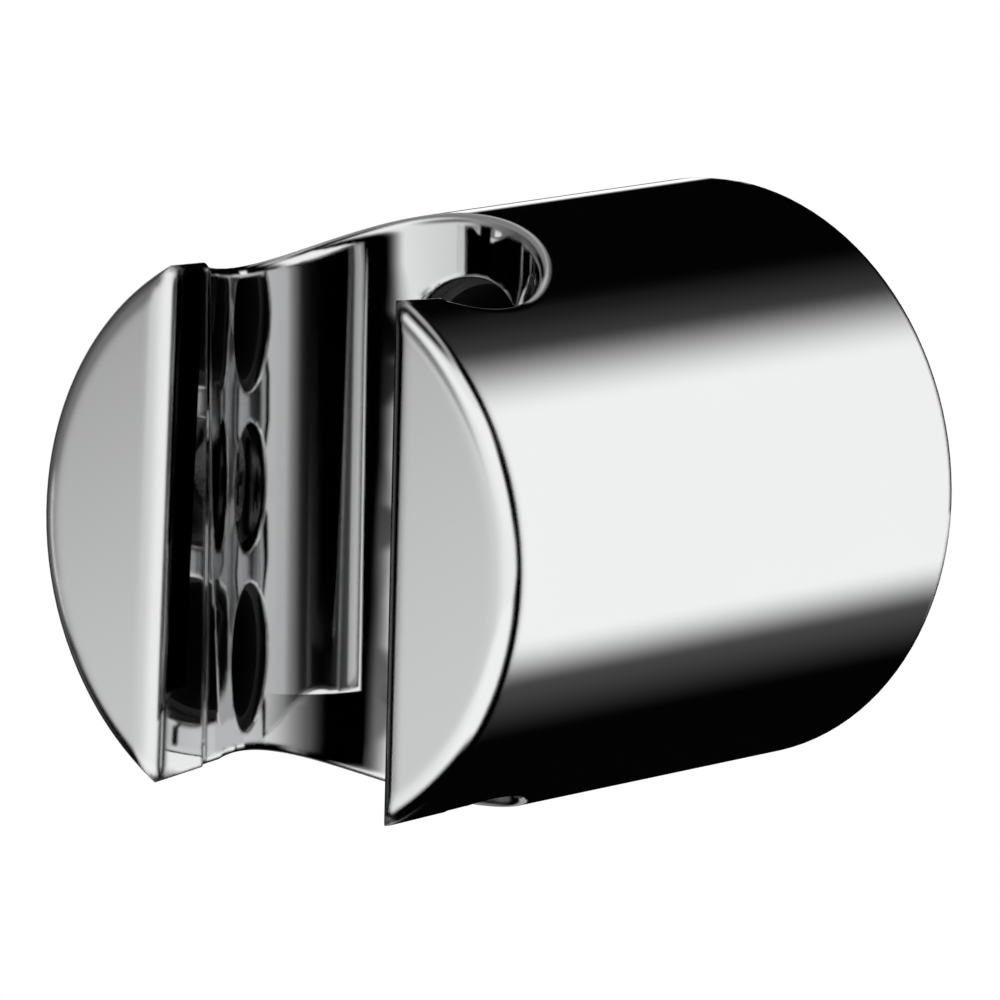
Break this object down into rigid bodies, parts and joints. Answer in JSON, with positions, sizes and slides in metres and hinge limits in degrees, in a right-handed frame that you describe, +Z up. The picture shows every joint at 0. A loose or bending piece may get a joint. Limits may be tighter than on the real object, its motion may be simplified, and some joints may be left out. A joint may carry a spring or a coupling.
{
  "type": "hand shower holder",
  "caption": "Round chrome-plated wall holder for a hand shower: a short cylinder standing out of the wall, with a tapered seat that is open at the top, bottom and front.",
  "frame": {"origin": "centre of the round back, on the plane of the wall", "axes": "+Y into the wall, so the holder stands out along -Y; +Z up; +X to the right for someone facing the wall"},
  "size_m": [0.046, 0.0557, 0.046],
  "materials": {
    "plating": "polished chrome plating on a moulded body",
    "base_plastic": "plain moulded plastic",
    "screw_steel": "bright stainless steel",
    "washer_steel": "bright stainless steel"
  },
  "bodies": {
    "root": {"holder_body": "plating", "mounting_base": "base_plastic", "centre_screw": "screw_steel", "screw_washer": "washer_steel"}
  },
  "joints": []
}
